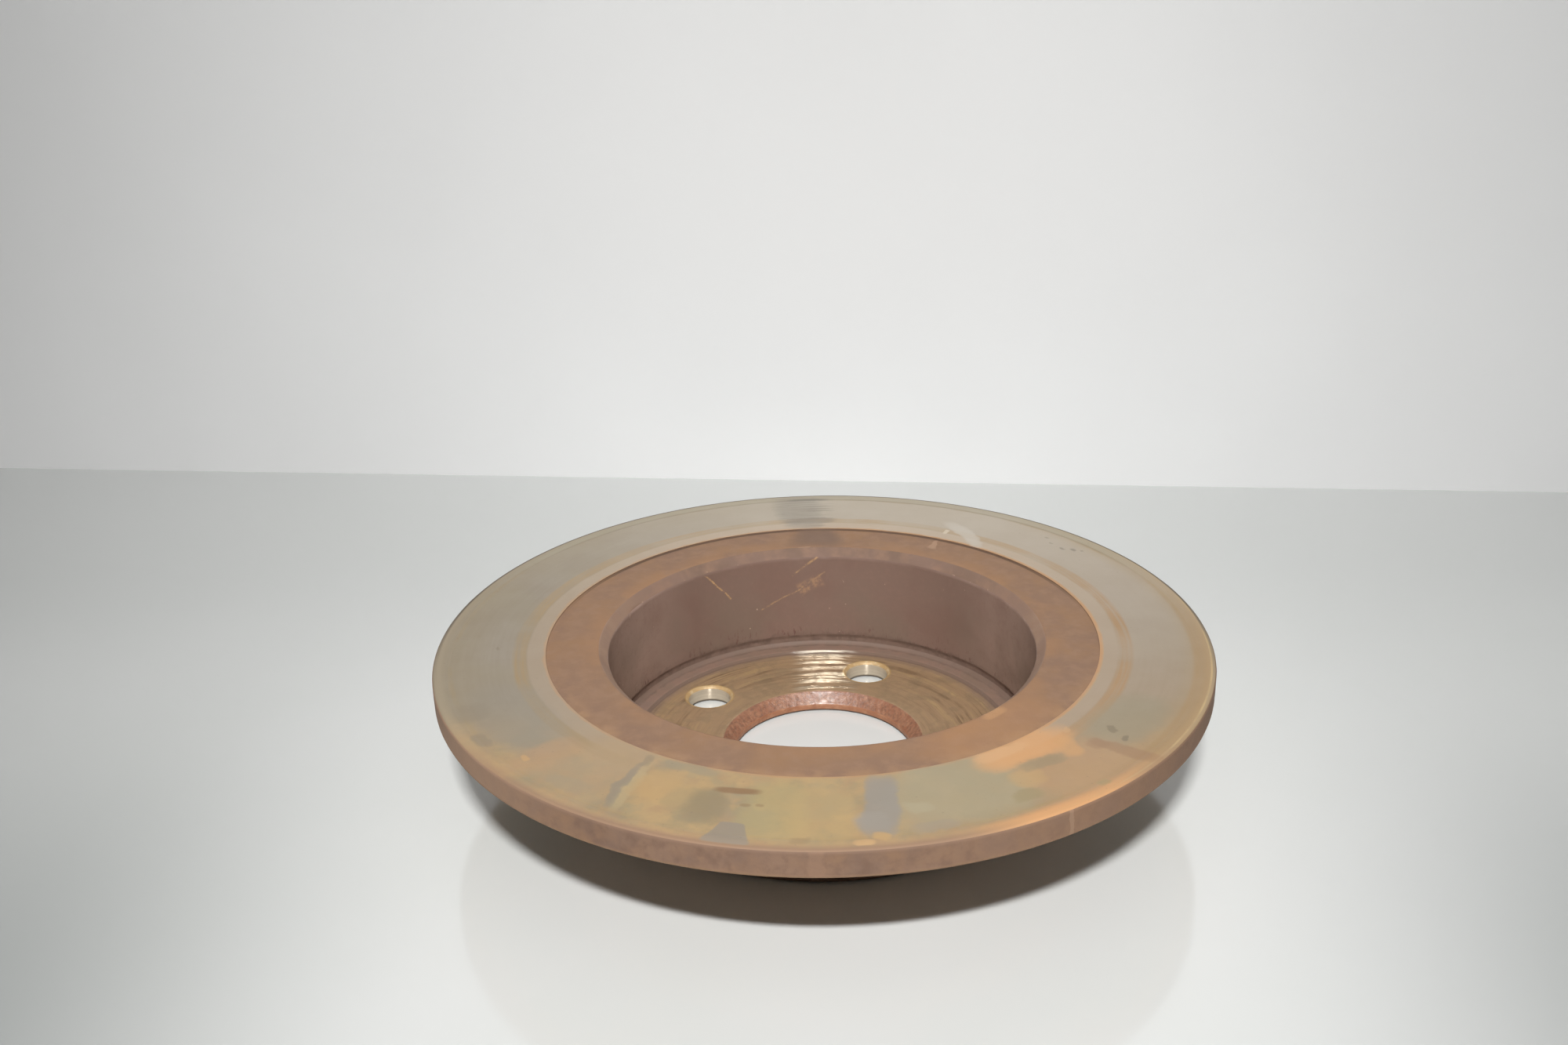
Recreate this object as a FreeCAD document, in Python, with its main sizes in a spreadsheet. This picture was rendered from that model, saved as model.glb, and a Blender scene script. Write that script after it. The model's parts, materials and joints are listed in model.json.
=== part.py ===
import FreeCAD, Part
import os

import Sketcher

# Solid rear brake disc with a drum hat, in millimetres.
# The origin is on the disc's axis in the wheel face, and +Z points to the inboard friction face.
# The first bolt hole lies on +X.

SIZES = {
    # friction ring
    "disc_diameter": 278.0,
    "disc_thickness": 9.0,
    "overall_height": 51.5,
    "rim_chamfer": 1.2,
    # lip that the pads have left at the rim by wearing down the track inside it
    "lip_width": 6.2,
    "lip_height": 0.15,
    # turned recess around the hat, which the pads don't reach
    "recess_width": 14.4,
    "recess_depth": 0.5,
    # hat, with the drum for the parking shoes inside it
    "drum_diameter": 155.0,
    "mouth_chamfer": 3.2,
    "hat_wall": 7.5,
    "hat_narrowing": 1.0,
    "nose_radius": 5.0,
    "root_radius": 3.0,
    # relief that the drum's turned wall runs out into, above the cast corner
    "relief_depth": 0.9,
    "relief_height": 3.4,
    "relief_runout": 0.8,
    "corner_bevel": 1.2,
    # hub plate, and the seat turned into its cast floor
    "hub_plate": 7.0,
    "cast_floor_rise": 0.8,
    "seat_border": 6.7,
    "seat_edge_width": 0.8,
    # centre bore, with a cast throat above its turned land
    "bore_diameter": 67.0,
    "bore_land": 3.0,
    "bore_chamfer": 0.5,
    "throat_flare": 3.9,
    # bolt holes
    "bolt_circle_diameter": 112.0,
    "bolt_hole_diameter": 16.5,
    "bolt_hole_chamfer": 1.0,
    "bolt_hole_count": 5,
}

# Radii and heights of the section, as expressions on the sheet
ON_AXIS = "0"
DISC_R = "sizes.disc_diameter / 2"
TRACK_R = DISC_R + " - sizes.lip_width"
DRUM_R = "sizes.drum_diameter / 2"
RELIEF_R = DRUM_R + " + sizes.relief_depth"
CORNER_R = RELIEF_R + " - sizes.corner_bevel"
HAT_ROOT_R = DRUM_R + " + sizes.hat_wall"
HAT_NOSE_R = HAT_ROOT_R + " - sizes.hat_narrowing"
RECESS_R = HAT_ROOT_R + " + sizes.recess_width"
HUB_SEAT_R = DRUM_R + " - sizes.seat_border"
SEAT_EDGE_R = HUB_SEAT_R + " + sizes.seat_edge_width"
BORE_R = "sizes.bore_diameter / 2"
THROAT_R = BORE_R + " + sizes.throat_flare"
BOLT_CIRCLE_R = "sizes.bolt_circle_diameter / 2"
BOLT_WALL_R = BOLT_CIRCLE_R + " + sizes.bolt_hole_diameter / 2"
BOLT_MOUTH_R = BOLT_WALL_R + " + sizes.bolt_hole_chamfer"

WHEEL_FACE = "0"
BORE_LAND_TOP = "sizes.bore_land"
HUB_SEAT = "sizes.hub_plate"
CAST_FLOOR = "sizes.hub_plate + sizes.cast_floor_rise"
CORNER_TOP = CAST_FLOOR + " + sizes.corner_bevel"
RELIEF_TOP = CAST_FLOOR + " + sizes.relief_height"
DRUM_END = RELIEF_TOP + " + sizes.relief_runout"
BOLT_WALL_BOTTOM = "sizes.bolt_hole_chamfer"
BOLT_WALL_TOP = "sizes.hub_plate - sizes.bolt_hole_chamfer"
OUTBOARD_LIP = "sizes.overall_height - sizes.disc_thickness"
OUTBOARD_TRACK = OUTBOARD_LIP + " + sizes.lip_height"
OUTBOARD_RECESS = OUTBOARD_TRACK + " + sizes.recess_depth"
INBOARD_LIP = "sizes.overall_height"
INBOARD_TRACK = INBOARD_LIP + " - sizes.lip_height"
INBOARD_RECESS = INBOARD_TRACK + " - sizes.recess_depth"

FULL_TURN = 360.0

# How closely an edge has to match the place that it is looked up by
EDGE_TOLERANCE = 0.001

# A sketch's own indices of its axes, of the ends of a line and of its origin
HORIZONTAL_AXIS_INDEX, VERTICAL_AXIS_INDEX = -1, -2
START_INDEX, END_INDEX = 1, 2
ORIGIN = (HORIZONTAL_AXIS_INDEX, START_INDEX)

os.makedirs("parts", exist_ok=True)
doc = FreeCAD.newDocument("brake_disc")

sheet = doc.addObject("Spreadsheet::Sheet", "sizes")
for row, (alias, number) in enumerate(SIZES.items(), start=1):
    sheet.set(f"A{row}", alias)
    sheet.set(f"B{row}", str(number))
    sheet.setAlias(f"B{row}", alias)
doc.recompute()

body = doc.addObject("PartDesign::Body", "brake_disc")
body.Label = "brake_disc"
body.Placement = FreeCAD.Placement()


def size(expression):
    """What an expression on the sheet comes to, in millimetres."""
    return float(sheet.evalExpression(expression))


def new_sketch(name, role):
    """An empty sketch on the body's own origin plane of that role."""
    sketch = body.newObject("Sketcher::SketchObject", name)
    plane = next(feature for feature in body.Origin.OriginFeatures if feature.Role == role)
    sketch.AttachmentSupport = [(plane, "")]
    sketch.MapMode = "FlatFace"
    return sketch


def hold(sketch, kind, references, expression):
    """A dimension of the sketch that follows the sheet."""
    constraint = sketch.addConstraint(Sketcher.Constraint(kind, *references, size(expression)))
    sketch.setExpression(f"Constraints[{constraint}]", expression)


def hold_start(sketch, line, kind, axis, expression):
    """Keeps the start of a line on an axis, or at its distance from the origin."""
    if expression in (ON_AXIS, WHEEL_FACE):
        sketch.addConstraint(Sketcher.Constraint("PointOnObject", line, START_INDEX, axis))
    else:
        hold(sketch, kind, (*ORIGIN, line, START_INDEX), expression)


def section_sketch(name, corners):
    """A closed half section of straight lines. A corner is a radius and a height."""
    sketch = new_sketch(name, "XZ_Plane")
    count = len(corners)
    points = [FreeCAD.Vector(size(radius), size(height), 0) for radius, height in corners]
    for line in range(count):
        sketch.addGeometry(Part.LineSegment(points[line], points[(line + 1) % count]))
    for line in range(count):
        joint = (line, END_INDEX, (line + 1) % count, START_INDEX)
        sketch.addConstraint(Sketcher.Constraint("Coincident", *joint))
    last_radius, last_height = None, None
    for line, (radius, height) in enumerate(corners):
        if radius == last_radius:
            sketch.addConstraint(Sketcher.Constraint("Vertical", line - 1))
        else:
            hold_start(sketch, line, "DistanceX", VERTICAL_AXIS_INDEX, radius)
        if height == last_height:
            sketch.addConstraint(Sketcher.Constraint("Horizontal", line - 1))
        else:
            hold_start(sketch, line, "DistanceY", HORIZONTAL_AXIS_INDEX, height)
        last_radius, last_height = radius, height
    return sketch


def turn(kind, name, corners, axis="V_Axis"):
    """A Revolution or a Groove of a half section, all the way round an axis or an edge of its sketch."""
    sketch = section_sketch(name + "_section", corners)
    feature = body.newObject(f"PartDesign::{kind}", name)
    feature.Profile = sketch
    feature.ReferenceAxis = (sketch, [axis])
    feature.Angle = FULL_TURN
    return feature


def settle(feature, adds=False):
    """Makes the feature the body's tip, and checks that it adds material or takes some away."""
    before = 0.0 if body.Shape.isNull() else body.Shape.Volume
    body.Tip = feature
    doc.recompute()
    if (body.Shape.Volume - before) * (1 if adds else -1) <= 0:
        raise RuntimeError(f"{feature.Name} doesn't change the disc as it should: {feature.State}")


def round_edges(radius, *heights):
    """Names of the circular edges of that radius at those heights."""
    names = []
    for number, edge in enumerate(body.Shape.Edges, start=1):
        if not isinstance(edge.Curve, Part.Circle):
            continue
        off_radius = abs(edge.Curve.Radius - size(radius))
        off_height = min(abs(edge.Curve.Center.z - size(height)) for height in heights)
        if max(off_radius, off_height) < EDGE_TOLERANCE:
            names.append(f"Edge{number}")
    if len(names) != len(heights):
        raise RuntimeError(f"{len(names)} edges of radius {radius} at {heights}")
    return names


def dress(kind, name, edges, alias):
    """A Fillet or a Chamfer of the tip's edges, by one size of the sheet."""
    base = body.Tip
    feature = body.newObject(f"PartDesign::{kind}", name)
    feature.Base = (base, edges)
    feature.setExpression("Radius" if kind == "Fillet" else "Size", f"sizes.{alias}")
    return feature


# Friction ring, hat and hub plate in one cast and turned section
settle(
    turn(
        "Revolution",
        "ring_and_hat",
        [
            (BORE_R, WHEEL_FACE),
            (HAT_NOSE_R, WHEEL_FACE),
            (HAT_ROOT_R, OUTBOARD_RECESS),
            (RECESS_R, OUTBOARD_RECESS),
            (RECESS_R, OUTBOARD_TRACK),
            (TRACK_R, OUTBOARD_TRACK),
            (TRACK_R, OUTBOARD_LIP),
            (DISC_R, OUTBOARD_LIP),
            (DISC_R, INBOARD_LIP),
            (TRACK_R, INBOARD_LIP),
            (TRACK_R, INBOARD_TRACK),
            (RECESS_R, INBOARD_TRACK),
            (RECESS_R, INBOARD_RECESS),
            (DRUM_R, INBOARD_RECESS),
            (DRUM_R, DRUM_END),
            (RELIEF_R, RELIEF_TOP),
            (RELIEF_R, CORNER_TOP),
            (CORNER_R, CAST_FLOOR),
            (BORE_R, CAST_FLOOR),
        ],
    ),
    adds=True,
)

# Seat for the wheel hub, turned into the cast floor with a sloped edge
settle(
    turn(
        "Groove",
        "hub_seat",
        [(ON_AXIS, HUB_SEAT), (HUB_SEAT_R, HUB_SEAT), (SEAT_EDGE_R, CAST_FLOOR), (ON_AXIS, CAST_FLOOR)],
    )
)

# Cast throat that widens the centre bore above its turned land
settle(
    turn(
        "Groove",
        "bore_throat",
        [(ON_AXIS, BORE_LAND_TOP), (BORE_R, BORE_LAND_TOP), (THROAT_R, HUB_SEAT), (ON_AXIS, HUB_SEAT)],
    )
)

# Cast roundings of the hat's nose and root
nose_edge = round_edges(HAT_NOSE_R, WHEEL_FACE)
settle(dress("Fillet", "hat_nose", nose_edge, "nose_radius"))
root_edge = round_edges(HAT_ROOT_R, OUTBOARD_RECESS)
settle(dress("Fillet", "hat_root", root_edge, "root_radius"), adds=True)

# Turned chamfers of the rim, the drum's mouth and the centre bore
rim_edges = round_edges(DISC_R, OUTBOARD_LIP, INBOARD_LIP)
settle(dress("Chamfer", "rim_edges", rim_edges, "rim_chamfer"))
mouth_edge = round_edges(DRUM_R, INBOARD_RECESS)
settle(dress("Chamfer", "drum_mouth", mouth_edge, "mouth_chamfer"))
bore_edge = round_edges(BORE_R, WHEEL_FACE)
settle(dress("Chamfer", "bore_edge", bore_edge, "bore_chamfer"))

# First bolt hole, chamfered at both ends and turned about its own axis, which is its section's last edge
hole_corners = [
    (BOLT_CIRCLE_R, WHEEL_FACE),
    (BOLT_MOUTH_R, WHEEL_FACE),
    (BOLT_WALL_R, BOLT_WALL_BOTTOM),
    (BOLT_WALL_R, BOLT_WALL_TOP),
    (BOLT_MOUTH_R, HUB_SEAT),
    (BOLT_MOUTH_R, CAST_FLOOR),
    (BOLT_CIRCLE_R, CAST_FLOOR),
]
hole = turn("Groove", "bolt_hole", hole_corners, axis=f"Edge{len(hole_corners)}")
settle(hole)

# All the bolt holes, around the disc's axis
holes = body.newObject("PartDesign::PolarPattern", "bolt_holes")
holes.Originals = [hole]
holes.Axis = (hole.Profile[0], ["V_Axis"])
holes.Angle = FULL_TURN
holes.setExpression("Occurrences", "sizes.bolt_hole_count")
settle(holes)

for item in doc.Objects:
    if "Invalid" in item.State or "Error" in item.State:
        raise RuntimeError(f"{item.Name} failed: {item.State}")
shape = body.Shape
if shape.isNull() or not shape.isValid() or len(shape.Solids) != 1:
    raise RuntimeError("the disc isn't one valid solid")
shape.exportStep(f"parts/{body.Label}.step")
print(f"{body.Label}: {shape.Volume:.0f} mm3, {shape.BoundBox}")
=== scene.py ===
import json
import math

import bmesh
import bpy
import numpy as np
from mathutils import Matrix, Vector


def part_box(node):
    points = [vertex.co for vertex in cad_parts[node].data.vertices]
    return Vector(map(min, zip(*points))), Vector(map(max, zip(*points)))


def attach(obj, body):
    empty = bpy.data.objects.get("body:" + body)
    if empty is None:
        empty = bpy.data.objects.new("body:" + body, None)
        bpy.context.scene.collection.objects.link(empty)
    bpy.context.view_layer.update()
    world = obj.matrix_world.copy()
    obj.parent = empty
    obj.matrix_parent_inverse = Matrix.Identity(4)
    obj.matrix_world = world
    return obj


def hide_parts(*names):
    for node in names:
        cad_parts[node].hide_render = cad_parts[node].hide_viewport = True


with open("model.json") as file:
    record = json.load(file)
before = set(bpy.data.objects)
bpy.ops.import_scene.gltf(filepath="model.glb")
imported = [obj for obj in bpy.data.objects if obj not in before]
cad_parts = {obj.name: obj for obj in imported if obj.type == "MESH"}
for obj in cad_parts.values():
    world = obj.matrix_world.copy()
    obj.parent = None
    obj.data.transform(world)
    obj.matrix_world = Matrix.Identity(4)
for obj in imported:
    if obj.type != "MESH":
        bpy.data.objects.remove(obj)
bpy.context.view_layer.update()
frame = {"record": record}

# Lengths are in millimetres up to the mesh, which is in metres.
MM = 0.001
TAU = 2 * math.pi

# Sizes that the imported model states
MOUNTS = {mount["name"]: mount for mount in frame["record"]["mounts"]}
HIGH_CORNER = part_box("brake_disc")[1]
DISC_R = HIGH_CORNER[0] / MM
HEIGHT = HIGH_CORNER[2] / MM
BORE_R = MOUNTS["centre_bore"]["dims"]["r_mm"]
DRUM_R = MOUNTS["parking_brake_drum"]["dims"]["r_mm"]
DRUM_HALF_LENGTH = MOUNTS["parking_brake_drum"]["dims"]["length_mm"] / 2
DRUM_MIDDLE = MOUNTS["parking_brake_drum"]["pos_m"][2] / MM
BOLT_CIRCLE_R = MOUNTS["wheel_bolts"]["dims"]["pcd_mm"] / 2
BOLT_HOLE_R = MOUNTS["wheel_bolts"]["dims"]["hole_r_mm"]
BOLT_COUNT = MOUNTS["wheel_bolts"]["dims"]["count"]
HUB_SEAT_Z = MOUNTS["hub_seat"]["pos_m"][2] / MM
INBOARD_TRACK_Z = MOUNTS["inboard_pad_track"]["pos_m"][2] / MM
OUTBOARD_TRACK_Z = MOUNTS["outboard_pad_track"]["pos_m"][2] / MM

# The section's other sizes
LIP_HEIGHT = HEIGHT - INBOARD_TRACK_Z
LIP_WIDTH = 6.2
LIP_SLOPE = 1.4
RECESS_DEPTH = 0.5
RIM_ROUNDING = 1.2
RIM_FOOT_ROUNDING = 0.5
MOUTH_CHAMFER = 3.2
HAT_WALL = 7.5
HAT_NARROWING = 1.0
RECESS_WIDTH = 14.4
NOSE_RADIUS = 5.0
ROOT_RADIUS = 3.0
RELIEF_DEPTH = 0.4
RELIEF_RUNOUT = 1.4
OUTBOARD_LIP_SLOPE = 0.3
CAST_FLOOR_RISE = 0.8
CORNER_BEVEL = 1.2
SEAT_BORDER = 6.7
SEAT_EDGE_WIDTH = 0.8
BORE_LAND = 3.0
BORE_CHAMFER = 0.5
THROAT_FLARE = 3.9
BOLT_HOLE_CHAMFER = 1.0
WEAR_RING_R = 107.0
WEAR_RING_HALF = 3.2

TRACK_R = DISC_R - LIP_WIDTH
HAT_ROOT_R = DRUM_R + HAT_WALL
HAT_NOSE_R = HAT_ROOT_R - HAT_NARROWING
RECESS_R = HAT_ROOT_R + RECESS_WIDTH
RELIEF_R = DRUM_R + RELIEF_DEPTH
HUB_SEAT_R = DRUM_R - SEAT_BORDER
THROAT_R = BORE_R + THROAT_FLARE
CAST_FLOOR_Z = HUB_SEAT_Z + CAST_FLOOR_RISE
DRUM_END_Z = DRUM_MIDDLE - DRUM_HALF_LENGTH
INBOARD_RECESS_Z = INBOARD_TRACK_Z - RECESS_DEPTH
OUTBOARD_RECESS_Z = OUTBOARD_TRACK_Z + RECESS_DEPTH
OUTBOARD_LIP_Z = OUTBOARD_TRACK_Z - LIP_HEIGHT

# Mesh density: columns all the way round, and the block of cells that each bolt hole takes the place of
COLUMNS = 420
BLOCK_COLUMNS = 28
BLOCK_ROWS = 24
BLOCK_HALF = 11.3

# The closed section, from the bore's foot up through the hat and round the ring. Each corner has its
# radius, height and rounding, and then the steps and the skin of the stretch to the next corner.
SECTION = [
    (BORE_R + BORE_CHAMFER, 0.0, 0.15, 1, "bore_land"),
    (BORE_R, BORE_CHAMFER, 0.15, 3, "bore_land"),
    (BORE_R, BORE_LAND, 0.3, 7, "throat"),
    (THROAT_R, HUB_SEAT_Z, 0.5, 5, "hub_seat"),
    (BOLT_CIRCLE_R - BLOCK_HALF, HUB_SEAT_Z, 0.0, BLOCK_ROWS, "hub_seat"),
    (BOLT_CIRCLE_R + BLOCK_HALF, HUB_SEAT_Z, 0.0, 4, "hub_seat"),
    (HUB_SEAT_R, HUB_SEAT_Z, 1.2, 1, "hub_seat"),
    (HUB_SEAT_R + SEAT_EDGE_WIDTH, CAST_FLOOR_Z, 1.2, 5, "cast_floor"),
    (RELIEF_R - CORNER_BEVEL, CAST_FLOOR_Z, 0.4, 2, "cast_floor"),
    (RELIEF_R, CAST_FLOOR_Z + CORNER_BEVEL, 0.3, 2, "relief"),
    (RELIEF_R, DRUM_END_Z - RELIEF_RUNOUT, 0.2, 1, "relief"),
    (DRUM_R, DRUM_END_Z, 0.5, 12, "drum"),
    (DRUM_R, DRUM_MIDDLE + DRUM_HALF_LENGTH, 0.25, 5, "mouth"),
    (DRUM_R + MOUTH_CHAMFER, INBOARD_RECESS_Z, 0.5, 13, "recess"),
    (RECESS_R, INBOARD_RECESS_Z, 0.1, 1, "recess"),
    (RECESS_R, INBOARD_TRACK_Z, 0.15, 17, "track"),
    (TRACK_R, INBOARD_TRACK_Z, 0.1, 1, "lip"),
    (TRACK_R + LIP_SLOPE, HEIGHT, 0.15, 5, "lip"),
    (DISC_R, HEIGHT, RIM_ROUNDING, 6, "rim"),
    (DISC_R, OUTBOARD_LIP_Z, RIM_FOOT_ROUNDING, 4, "outboard_lip"),
    (TRACK_R + OUTBOARD_LIP_SLOPE, OUTBOARD_LIP_Z, 0.15, 1, "outboard_lip"),
    (TRACK_R, OUTBOARD_TRACK_Z, 0.1, 9, "outboard_track"),
    (RECESS_R, OUTBOARD_TRACK_Z, 0.15, 1, "outboard_recess"),
    (RECESS_R, OUTBOARD_RECESS_Z, 0.1, 5, "outboard_recess"),
    (HAT_ROOT_R, OUTBOARD_RECESS_Z, ROOT_RADIUS, 9, "hat_outside"),
    (HAT_NOSE_R, 0.0, NOSE_RADIUS, 4, "wheel_face"),
    (BOLT_CIRCLE_R + BLOCK_HALF, 0.0, 0.0, BLOCK_ROWS, "wheel_face"),
    (BOLT_CIRCLE_R - BLOCK_HALF, 0.0, 0.0, 4, "wheel_face"),
]

# Profile of a bolt hole, from the seat down to the wheel face: radius, height and skin of the band below.
# The chamfers' edges are broken over about a tenth of a millimetre.
BOLT_MOUTH_R = BOLT_HOLE_R + BOLT_HOLE_CHAMFER
BOLT_SECTION = [
    (BOLT_MOUTH_R + 0.1, HUB_SEAT_Z, "hole_edge"),
    (BOLT_MOUTH_R - 0.1, HUB_SEAT_Z - 0.12, "hole_edge"),
    (BOLT_HOLE_R + 0.12, HUB_SEAT_Z - BOLT_HOLE_CHAMFER + 0.08, "hole_edge"),
    (BOLT_HOLE_R, HUB_SEAT_Z - BOLT_HOLE_CHAMFER - 0.15, "hole_wall"),
    (BOLT_HOLE_R, HUB_SEAT_Z / 2, "hole_wall"),
    (BOLT_HOLE_R, BOLT_HOLE_CHAMFER + 0.15, "hole_edge"),
    (BOLT_HOLE_R + 0.12, BOLT_HOLE_CHAMFER - 0.08, "hole_edge"),
    (BOLT_MOUTH_R - 0.1, 0.12, "hole_edge"),
    (BOLT_MOUTH_R + 0.1, 0.0, "wheel_face"),
]
BLOCK_RINGS = 3


# Relief of the surface

NOISE_ROWS = 128


def value_noise(theta, along, cells, pitch, seed):
    """Smooth noise from 0 to 1, with that many cells round the disc and that pitch along the section."""
    table = np.random.default_rng(seed).random((cells, NOISE_ROWS))
    turn = np.mod(theta / TAU, 1.0) * cells
    row = np.mod(along / pitch, NOISE_ROWS)
    turn_cell, row_cell = np.floor(turn).astype(int), np.floor(row).astype(int)
    turn_share, row_share = turn - turn_cell, row - row_cell
    turn_share = turn_share * turn_share * (3 - 2 * turn_share)
    row_share = row_share * row_share * (3 - 2 * row_share)
    left, right = turn_cell % cells, (turn_cell + 1) % cells
    below, above = row_cell % NOISE_ROWS, (row_cell + 1) % NOISE_ROWS
    low = table[left, below] * (1 - turn_share) + table[right, below] * turn_share
    high = table[left, above] * (1 - turn_share) + table[right, above] * turn_share
    return low * (1 - row_share) + high * row_share


def cast_relief(depth, cells, pitch, seed):
    """Lumps of a cast or rusted surface, in three sizes."""
    def relief(radius, height, theta):
        total = 0.0
        for octave, share in enumerate((0.5, 0.3, 0.2)):
            fine = 2 ** octave
            lumps = value_noise(theta, radius + height, cells * fine, pitch / fine, seed + octave)
            total = total + share * lumps
        return depth * total
    return relief


def turned_relief(depth, pitch, seed, streak_cells=9):
    """Uneven grooves left by the tool, which run round the disc and fade in and out."""
    def relief(radius, height, theta):
        grooves = value_noise(theta, radius + height, 3, pitch, seed)
        streaks = value_noise(theta, radius + height, streak_cells, pitch * 0.7, seed + 1)
        return depth * (0.6 * grooves + 0.4 * streaks ** 2)
    return relief


def relief_wall(radius, height, theta):
    """The ragged relief at the drum's foot: cast lumps with upright flecks of flash."""
    lumps = cast_relief(0.2, 70, 2.0, 31)(radius, height, theta)
    flecks = value_noise(theta, radius + height, 190, 6.0, 35) ** 3
    return lumps + 0.15 * flecks


def drum_relief(radius, height, theta):
    """Nearly smooth drum wall, which frays out at its foot."""
    fray = np.clip(1 - (height - DRUM_END_Z) / 3.0, 0, 1)
    level = height * 0.0
    flecks = value_noise(theta, level, 210, 5.0, 41) ** 2 * value_noise(theta, level, 23, 5.0, 42)
    return cast_relief(0.06, 40, 5.0, 43)(radius, height, theta) + 0.25 * fray * flecks


def recess_relief(radius, height, theta):
    """Lumps of the rusted recess."""
    return cast_relief(0.12, 110, 3.4, 51)(radius, height, theta)


def track_relief(radius, height, theta):
    """Swept track, dished where the pads have worn a shallow ring near its inner edge."""
    ring = np.exp(-(((radius - WEAR_RING_R) / WEAR_RING_HALF) ** 2))
    return 0.05 * ring + turned_relief(0.025, 2.6, 61)(radius, height, theta)


def mouth_relief(radius, height, theta):
    """Rusted chamfer, with nicks along its lower edge."""
    near_edge = np.clip(1 - (radius - DRUM_R) / 0.9, 0, 1)
    nicks = np.clip(value_noise(theta, height * 0.0, 120, 5.0, 71) - 0.72, 0, 1) / 0.28
    return cast_relief(0.22, 70, 2.4, 73)(radius, height, theta) + 0.35 * near_edge * nicks


RELIEFS = {
    "bore_land": turned_relief(0.05, 0.7, 11),
    "throat": cast_relief(0.35, 190, 1.1, 13),
    "hub_seat": turned_relief(0.2, 1.25, 17, streak_cells=13),
    "cast_floor": cast_relief(0.16, 90, 2.4, 23),
    "relief": relief_wall,
    "drum": drum_relief,
    "mouth": mouth_relief,
    "recess": recess_relief,
    "track": track_relief,
    "lip": cast_relief(0.05, 80, 3.0, 81),
    "rim": cast_relief(0.12, 90, 4.2, 83),
    "outboard_lip": cast_relief(0.06, 80, 3.0, 91),
    "outboard_track": turned_relief(0.03, 2.6, 93),
    "outboard_recess": cast_relief(0.12, 110, 3.4, 95),
    "hat_outside": cast_relief(0.35, 80, 4.5, 97),
    "wheel_face": turned_relief(0.06, 1.6, 101),
    "hole_edge": cast_relief(0.04, 150, 1.5, 103),
    "hole_wall": cast_relief(0.02, 150, 1.5, 105),
}
SKINS = list(RELIEFS)


def relief_of(skins, radius, height, theta):
    """Depth of the relief at points, each in its own skin."""
    depth = np.zeros_like(radius)
    for number, skin in enumerate(SKINS):
        chosen = skins == number
        if chosen.any():
            depth[chosen] = RELIEFS[skin](radius[chosen], height[chosen], theta[chosen])
    return depth


# Mesh of the disc


def arc_points(before, corner, after, rounding, steps):
    """Points of the round corner, from the side that comes in to the side that goes out."""
    into = (corner - before) / np.linalg.norm(corner - before)
    out = (after - corner) / np.linalg.norm(after - corner)
    half_turn = math.acos(float(np.clip(into @ out, -1, 1))) / 2
    reach = rounding if steps == 2 else rounding * math.tan(half_turn)
    first, last = corner - into * reach, corner + out * reach
    weight = math.cos(half_turn)
    points = []
    for share in np.linspace(0, 1, steps + 1):
        a, b, c = (1 - share) ** 2, 2 * share * (1 - share) * weight, share ** 2
        points.append((a * first + b * corner + c * last) / (a + b + c))
    return points


def section_points():
    """Points of the closed section, and the skin of the stretch that leaves each point."""
    corners = [np.array(corner[:2], float) for corner in SECTION]
    count = len(corners)
    arcs = []
    for number, (_, _, rounding, _, _) in enumerate(SECTION):
        before, after = corners[number - 1], corners[(number + 1) % count]
        if rounding == 0:
            arcs.append([corners[number]])
        else:
            steps = 4 if rounding > 1 else 2
            arcs.append(arc_points(before, corners[number], after, rounding, steps))
    points, skins, block_starts = [], [], []
    for number, (_, _, rounding, steps, skin) in enumerate(SECTION):
        arc, next_arc = arcs[number], arcs[(number + 1) % count]
        last_skin = SECTION[number - 1][4]
        for place, point in enumerate(arc[:-1]):
            points.append(point)
            skins.append(SKINS.index(last_skin if place < len(arc) // 2 else skin))
        if steps == BLOCK_ROWS:
            block_starts.append(len(points))
        for step in range(steps):
            share = step / steps
            if steps not in (1, BLOCK_ROWS):
                share -= 0.6 * math.sin(TAU * share) / TAU
            points.append(arc[-1] + (next_arc[0] - arc[-1]) * share)
            skins.append(SKINS.index(skin))
    return np.array(points), np.array(skins), block_starts


def outward_normals(points):
    """Unit normals of a closed section whose solid lies to the right of its direction."""
    ahead = np.roll(points, -1, axis=0) - points
    ahead /= np.linalg.norm(ahead, axis=1)[:, None]
    along = ahead + np.roll(ahead, 1, axis=0)
    along /= np.linalg.norm(along, axis=1)[:, None]
    return np.stack([-along[:, 1], along[:, 0]], axis=1)


def around(radius, height, theta):
    """Points in space of points on the section that are turned about the axis."""
    return np.stack([radius * np.cos(theta), radius * np.sin(theta), height], axis=-1)


def ring_of_cells():
    """The turned surface as rows of vertices, with each quad's skin."""
    points, skins, block_starts = section_points()
    normals = outward_normals(points)
    rows = len(points)
    theta = np.tile(np.arange(COLUMNS) * TAU / COLUMNS, (rows, 1))
    radius = np.tile(points[:, :1], (1, COLUMNS))
    height = np.tile(points[:, 1:], (1, COLUMNS))
    depth = relief_of(np.tile(skins[:, None], (1, COLUMNS)), radius, height, theta)
    radius = radius - normals[:, :1] * depth
    height = height - normals[:, 1:] * depth
    return around(radius, height, theta), skins, block_starts


def block_loop(first_row, first_column, inward):
    """Grid places round a block of cells, in the same order seen from above for both faces."""
    rows = [first_row + step for step in range(BLOCK_ROWS + 1)]
    columns = [(first_column + step) % COLUMNS for step in range(BLOCK_COLUMNS + 1)]
    if inward:
        rows.reverse()
    loop = [(rows[0], column) for column in columns[:-1]]
    loop += [(row, columns[-1]) for row in rows[:-1]]
    loop += [(rows[-1], column) for column in reversed(columns[1:])]
    loop += [(row, columns[0]) for row in reversed(rows[1:])]
    return loop


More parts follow.
